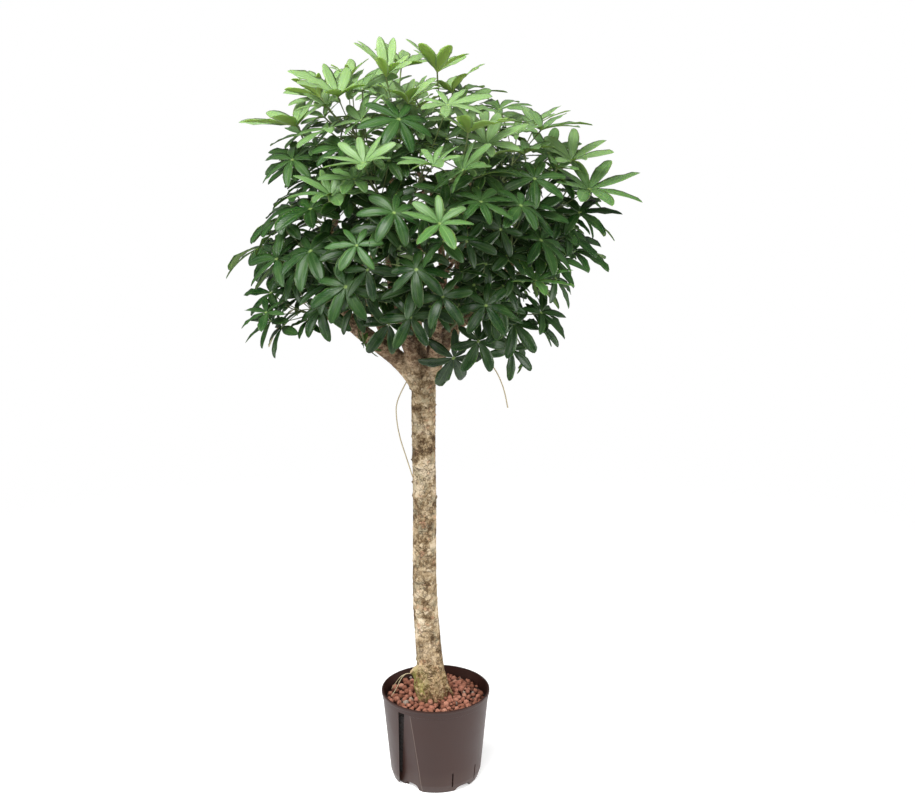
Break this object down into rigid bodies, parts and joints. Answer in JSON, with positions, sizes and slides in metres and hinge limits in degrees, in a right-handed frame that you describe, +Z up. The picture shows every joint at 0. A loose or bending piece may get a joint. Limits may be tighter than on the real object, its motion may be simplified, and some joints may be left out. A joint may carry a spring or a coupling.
{
  "type": "potted umbrella plant",
  "caption": "Umbrella plant grown as a standard: a bare woody trunk with a round crown of palmate leaves, in a round grow pot filled with expanded clay.",
  "frame": {"origin": "on the floor under the middle of the pot, in the plane it stands on", "axes": "+Z up along the trunk, the pot's front with the gauge recess and the pictured side of the crown towards -Y, +X to the right seen from there"},
  "size_m": [0.781, 0.7424, 1.4797],
  "materials": {
    "pot_plastic": "matt dark aubergine brown plastic",
    "fired_clay": "rough fired clay",
    "bark": "rough mottled bark",
    "foliage": "semi-gloss leathery leaves on green stems"
  },
  "bodies": {
    "root": {"pot": "pot_plastic", "clay_granules": "fired_clay", "trunk": "bark", "shoot_01": "foliage", "shoot_02": "foliage", "shoot_03": "foliage", "shoot_04": "foliage", "shoot_05": "foliage", "shoot_06": "foliage", "shoot_07": "foliage", "shoot_08": "foliage", "shoot_09": "foliage", "shoot_10": "foliage", "shoot_11": "foliage", "shoot_12": "foliage", "shoot_13": "foliage", "shoot_14": "foliage", "shoot_15": "foliage", "shoot_16": "foliage", "shoot_17": "foliage", "shoot_18": "foliage", "shoot_19": "foliage", "shoot_20": "foliage", "shoot_21": "foliage", "shoot_22": "foliage", "shoot_23": "foliage", "shoot_24": "foliage", "shoot_25": "foliage", "shoot_26": "foliage", "shoot_27": "foliage", "shoot_28": "foliage", "shoot_29": "foliage", "shoot_30": "foliage", "shoot_31": "foliage", "shoot_32": "foliage", "shoot_33": "foliage"}
  },
  "joints": []
}
